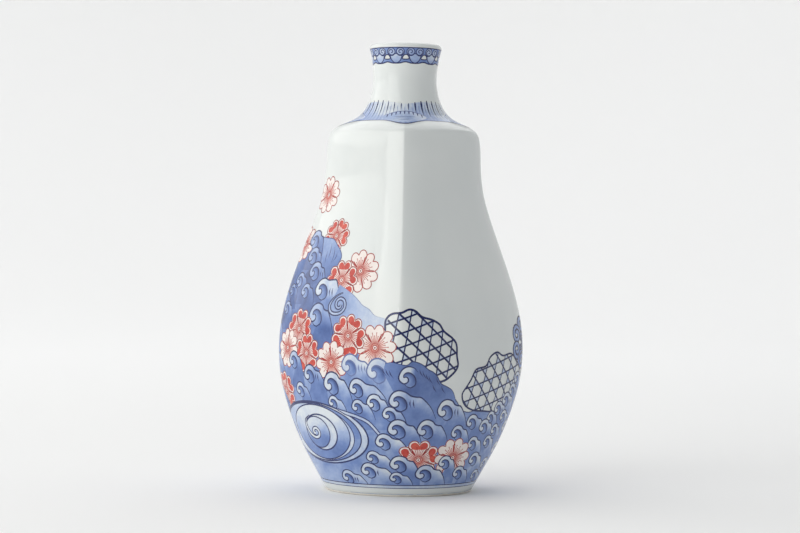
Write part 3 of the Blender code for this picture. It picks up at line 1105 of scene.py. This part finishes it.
def body_rings():
    """Rings from the underside's middle, out and up the outside, over the lip and down inside."""
    rings = []
    for radius in (4.0, 12.0, 19.0, UNDERSIDE_RADIUS):
        dish = FOOT_DISH * (1 - radius / UNDERSIDE_RADIUS) ** 2
        rings.append(round_ring(radius, FOOT_CEILING - dish))
    for angle in np.radians(np.linspace(90, 0, 5)):
        across = FOOT_GLAZE_INNER - 0.4 - FOOT_FILLET * (1 - math.cos(angle))
        rings.append(round_ring(across, FOOT_CEILING - FOOT_FILLET * (1 - math.sin(angle))))
    rings.append(round_ring(FOOT_GLAZE_INNER, FOOT_GLAZE_EDGE + 0.15))
    rings.append(round_ring(FOOT_GLAZE_INNER + 0.3, FOOT_GLAZE_EDGE))
    rings.append(round_ring(float(RADIUS(0.0)) - 0.35, FOOT_GLAZE_EDGE - 0.12))
    for station in outline_stations():
        rings.append(outer_surface(FACINGS, np.full(COLUMNS, station))[0])
    rings += lip_rings(STATIONS[-1])
    inner_start = float(station_at(12.5))
    for station in np.linspace(STATIONS[-1], inner_start, 64):
        rings.append(inner_ring(float(station)))
    for angle in np.radians((20, 40, 60, 80)):
        across = INSIDE_FLOOR_RADIUS + 1.2 + INSIDE_FILLET * math.cos(angle)
        rings.append(round_ring(across, FLOOR_HEIGHT + INSIDE_FILLET * (1 - math.sin(angle))))
    for share in (0.85, 0.6, 0.35, 0.12):
        dish = FLOOR_DISH * (1 - share**2)
        rings.append(round_ring(INSIDE_FLOOR_RADIUS * share, FLOOR_HEIGHT - dish))
    return rings


def lip_rings(station):
    """Rings round the half circle that caps the wall at the mouth."""
    along_radius, along_height = outline_direction(station)
    half_wall = float(WALL(station)) / 2
    centre_radius = float(RADIUS(station)) - half_wall * along_radius
    centre_height = float(LEVEL(station)) - half_wall * along_height
    rings = []
    for angle in np.linspace(0, math.pi, 17)[:-1]:
        radius = centre_radius + half_wall * math.cos(angle)
        rings.append(round_ring(radius, centre_height + half_wall * math.sin(angle)))
    return rings


def bridge(count, closed=False):
    """Faces from each ring to the next and, when closed, from the last to the first."""
    faces = []
    for row in range(count if closed else count - 1):
        low, high = row * COLUMNS, (row + 1) % count * COLUMNS
        for i in range(COLUMNS):
            j = (i + 1) % COLUMNS
            faces.append((low + i, low + j, high + j, high + i))
    return faces


def make_body():
    rings = body_rings()
    hubs = ((0, 0, FOOT_CEILING - FOOT_DISH), (0, 0, FLOOR_HEIGHT - FLOOR_DISH))
    bottom_hub = len(rings) * COLUMNS
    last = bottom_hub - COLUMNS
    faces = bridge(len(rings))
    for i in range(COLUMNS):
        j = (i + 1) % COLUMNS
        faces.append((bottom_hub, j, i))
        faces.append((bottom_hub + 1, last + i, last + j))
    return add_mesh("glazed_body", np.vstack(rings + [hubs]), faces)


def make_foot():
    """The bare ring that the bottle stands on, tucked into the glazed foot."""
    profile = ((24.7, 1.6), (24.55, 0.7), (24.75, 0.25), (25.1, 0.0), (26.0, 0.0), (27.1, 0.0),
               (27.55, 0.12), (27.8, 0.42), (27.75, 0.78), (27.2, 1.6))
    rings = [round_ring(radius, height) for radius, height in profile]
    return add_mesh("foot_edge", np.vstack(rings), bridge(len(rings), closed=True))


# ---- Materials.


class Surface:
    """A node material round one Principled shader, with short calls for the nodes used here."""

    def __init__(self, name, roughness):
        self.material = bpy.data.materials.new(name)
        self.material.use_nodes = True
        self.nodes = self.material.node_tree.nodes
        self.links = self.material.node_tree.links
        self.shader = self.nodes["Principled BSDF"]
        self.shader.inputs["Roughness"].default_value = roughness
        self.shader.inputs["IOR"].default_value = 1.5
        self.place = self.nodes.new("ShaderNodeTexCoord").outputs["Object"]

    def node(self, kind, settings, source, socket, result):
        """Adds a node with its settings, fed at one socket, and returns one of its outputs."""
        node = self.nodes.new("ShaderNode" + kind)
        for name, value in settings.items():
            node.inputs[name].default_value = value
        self.links.new(source, node.inputs[socket])
        return node.outputs[result]

    def noise(self, scale, detail=3.0, rough=0.5):
        settings = {"Scale": scale, "Detail": detail, "Roughness": rough}
        return self.node("TexNoise", settings, self.place, "Vector", "Fac")

    def spread(self, value, low, high):
        """Maps a noise's usual 0.3 to 0.7 to low to high."""
        settings = {"From Min": 0.3, "From Max": 0.7, "To Min": low, "To Max": high}
        return self.node("MapRange", settings, value, "Value", "Result")

    def sum(self, first, second):
        node = self.nodes.new("ShaderNodeMath")
        node.operation = "ADD"
        self.links.new(first, node.inputs[0])
        self.links.new(second, node.inputs[1])
        return node.outputs["Value"]

    def tone(self):
        node = self.nodes.new("ShaderNodeAttribute")
        node.attribute_name = "tone"
        return node.outputs["Fac"]

    def ramp(self, value, stops):
        node = self.nodes.new("ShaderNodeValToRGB")
        steps = node.color_ramp.elements
        while len(steps) < len(stops):
            steps.new(0.5)
        for step, (position, colour) in zip(steps, stops):
            step.position = position
            step.color = (*colour, 1.0)
        self.links.new(value, node.inputs["Fac"])
        return node.outputs["Color"]

    def set(self, socket, value):
        self.links.new(value, self.shader.inputs[socket])

    def bump(self, value, strength, distance):
        settings = {"Strength": strength, "Distance": distance}
        self.set("Normal", self.node("Bump", settings, value, "Height", "Normal"))

    def finish_glossy(self, smoothest, roughest):
        """The kiln's finish, the same on glaze and paint: uneven gloss and a soft ripple."""
        self.set("Roughness", self.spread(self.noise(60, 2), smoothest, roughest))
        self.bump(self.noise(55, 1.5), 0.12, 0.0006)


GLAZE_WHITE = ((0.0, (0.695, 0.728, 0.728)), (1.0, (0.735, 0.760, 0.752)))
# Underglaze blue from bare glaze to the deepest wash.
BLUE_WASH = (
    (0.0, (0.67, 0.72, 0.77)),
    (0.25, (0.355, 0.45, 0.675)),
    (0.5, (0.152, 0.238, 0.505)),
    (0.75, (0.083, 0.142, 0.36)),
    (1.0, (0.04, 0.065, 0.19)),
)
BLUE_LINES = (
    (0.0, (0.50, 0.58, 0.75)),
    (0.45, (0.16, 0.21, 0.42)),
    (0.8, (0.035, 0.050, 0.17)),
    (1.0, (0.014, 0.020, 0.095)),
)
PALE_ENAMEL = (
    (0.0, (0.82, 0.77, 0.745)),
    (0.3, (0.80, 0.60, 0.55)),
    (0.7, (0.74, 0.34, 0.27)),
    (1.0, (0.66, 0.18, 0.12)),
)
RED_ENAMEL = ((0.0, (0.64, 0.11, 0.075)), (0.5, (0.55, 0.062, 0.045)), (1.0, (0.43, 0.035, 0.027)))
RED_LINES_COLOUR = ((0.0, (0.60, 0.12, 0.08)), (0.5, (0.43, 0.04, 0.03)), (1.0, (0.20, 0.015, 0.02)))
CLAY = ((0.0, (0.60, 0.55, 0.49)), (0.5, (0.70, 0.67, 0.62)), (1.0, (0.76, 0.74, 0.71)))
BACKDROP_GREY = ((0.0, (0.86, 0.86, 0.86)), (1.0, (0.89, 0.89, 0.89)))


def glaze_material():
    """Clear-glazed white porcelain: a faint blue-green cast that pools unevenly, a soft ripple."""
    surface = Surface("white_glaze", 0.1)
    cast = surface.spread(surface.noise(28, 3), 0.0, 1.0)
    surface.set("Base Color", surface.ramp(cast, GLAZE_WHITE))
    surface.finish_glossy(0.07, 0.12)
    return surface.material


def paint_material(name, stops, unevenness, scale, roughness):
    """A painted colour: the stroke's own tone, made uneven as a brush and the kiln leave it."""
    surface = Surface(name, roughness)
    pooling = surface.spread(surface.noise(scale, 4, 0.6), -unevenness, unevenness)
    grain = surface.spread(surface.noise(scale * 9, 2, 0.6), -unevenness / 3, unevenness / 3)
    tone = surface.sum(surface.tone(), surface.sum(pooling, grain))
    surface.set("Base Color", surface.ramp(tone, stops))
    surface.finish_glossy(roughness * 0.8, roughness * 1.25)
    return surface.material


def clay_material():
    """Unglazed, slightly toasted porcelain clay with fine grit."""
    surface = Surface("bare_clay", 0.6)
    tint = surface.spread(surface.noise(220, 5, 0.65), 0.0, 1.0)
    surface.set("Base Color", surface.ramp(tint, CLAY))
    surface.set("Roughness", surface.spread(surface.noise(400, 2), 0.5, 0.75))
    surface.bump(surface.noise(900, 3), 0.4, 0.0001)
    return surface.material


def backdrop_material():
    surface = Surface("backdrop", 0.9)
    shade = surface.spread(surface.noise(0.7, 2), 0.0, 1.0)
    surface.set("Base Color", surface.ramp(shade, BACKDROP_GREY))
    surface.shader.inputs["Specular IOR Level"].default_value = 0.0
    return surface.material


# ---- The scene.

COVE_RADIUS = 2.4
COVE_CURVE = 1.1
COVE_HEIGHT = 3.0
COVE_COLUMNS = 96
OPENING_START = math.radians(255)  # the cove's wall is left open to the dim room, front right
OPENING_END = math.radians(345)
OPENING_FOOT = 0.32


def make_cove():
    """A round studio cove: a floor that curves up into a wall, open at the top and front right."""
    flat = COVE_RADIUS - COVE_CURVE
    profile = [(radius, 0.0) for radius in (0.02, 0.15, 0.4, 0.8, flat)]
    for lean in np.radians(np.linspace(0, 90, 19)[1:]):
        profile.append((flat + COVE_CURVE * math.sin(lean), COVE_CURVE * (1 - math.cos(lean))))
    profile.append((COVE_RADIUS, COVE_HEIGHT))
    around = COVE_COLUMNS
    angles = np.linspace(0, math.tau, around, endpoint=False)
    points = [(0.0, 0.0, 0.0)]
    for radius, height in profile:
        points += [(radius * math.cos(a), radius * math.sin(a), height) for a in angles]
    faces = [(0, 1 + i, 1 + (i + 1) % around) for i in range(around)]
    for row in range(len(profile) - 1):
        low, high = 1 + row * around, 1 + (row + 1) * around
        for i in range(around):
            j = (i + 1) % around
            if profile[row][1] < OPENING_FOOT or not OPENING_START < angles[i] < OPENING_END:
                faces.append((low + i, low + j, high + j, high + i))
    cove = add_mesh("cove", np.array(points) / MM, faces)
    cove.data.materials.append(backdrop_material())


def add_softbox(name, place, target, size, power, colour=(1.0, 1.0, 1.0)):
    light = bpy.data.lights.new(name, "AREA")
    light.shape = "RECTANGLE"
    light.size, light.size_y = size
    light.energy = power
    light.color = colour
    box = bpy.data.objects.new(name, light)
    box.location = place
    aim = np.array(target) - np.array(place)
    flat = math.hypot(aim[0], aim[1])
    box.rotation_euler = (math.atan2(flat, -aim[2]), 0.0, math.atan2(aim[1], aim[0]) - math.pi / 2)
    box.visible_camera = False
    bpy.context.scene.collection.objects.link(box)


def make_lights():
    middle = (0.0, 0.0, 0.08)
    warm = (1.0, 0.985, 0.93)
    add_softbox("left_bank", (-1.75, 0.2, 0.92), middle, (2.2, 1.15), 9.2, warm)
    add_softbox("key", (-1.13, -1.14, 0.8), middle, (1.2, 1.5), 12.2, warm)
    add_softbox("overhead", (-0.08, 0.9, 1.75), (0.0, 0.3, 0.0), (3.0, 2.4), 22.6)
    add_softbox("back_wash", (0.1, 1.0, 1.5), (0.1, 2.3, 0.3), (2.4, 0.8), 1.5)
    world = bpy.data.worlds.new("studio")
    world.use_nodes = True
    background = world.node_tree.nodes["Background"]
    background.inputs["Color"].default_value = (0.93, 0.965, 1.0, 1.0)
    background.inputs["Strength"].default_value = 0.3
    bpy.context.scene.world = world


CAMERA_PLACE = (-0.0008, -0.900, 0.0956)
CAMERA_PITCH = 0.655  # degrees below the horizon
CAMERA_ROLL = 0.945
CAMERA_LENS = 105.8


def make_camera():
    camera = bpy.data.objects.new("camera", bpy.data.cameras.new("camera"))
    camera.data.lens = CAMERA_LENS
    camera.data.sensor_width = 36.0
    camera.location = CAMERA_PLACE
    tilt = Euler((math.radians(90 - CAMERA_PITCH), 0, 0)).to_quaternion()
    roll = Euler((0, 0, math.radians(CAMERA_ROLL))).to_quaternion()
    camera.rotation_euler = (tilt @ roll).to_euler()
    bpy.context.scene.collection.objects.link(camera)
    bpy.context.scene.camera = camera


# Each paint's colours by tone, its unevenness and that noise's scale, its roughness and its slot.
PAINT_LOOKS = {
    WASH: (BLUE_WASH, 0.12, 75, 0.1, "blue_painting"),
    LINES: (BLUE_LINES, 0.06, 160, 0.1, "blue_painting"),
    RED: (RED_ENAMEL, 0.3, 300, 0.2, "red_painting"),
    RED_LINES: (RED_LINES_COLOUR, 0.15, 300, 0.2, "red_painting"),
    PALE: (PALE_ENAMEL, 0.06, 200, 0.16, "red_painting"),
}


def main():
    body = make_body()
    body.data.materials.append(glaze_material())
    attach(body, "root")
    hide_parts("base_plate", "body_wall", "shoulder", "neck")

    foot = make_foot()
    foot.data.materials.append(clay_material())
    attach(foot, "root")
    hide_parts("foot_ring")

    for paint, sheet in make_paint_sheets().items():
        stops, unevenness, scale, roughness, slot = PAINT_LOOKS[paint]
        sheet.data.materials.append(paint_material(paint, stops, unevenness, scale, roughness))
        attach(sheet, "root")

    make_cove()
    make_lights()
    make_camera()
    bpy.context.scene.view_settings.view_transform = "Standard"


main()
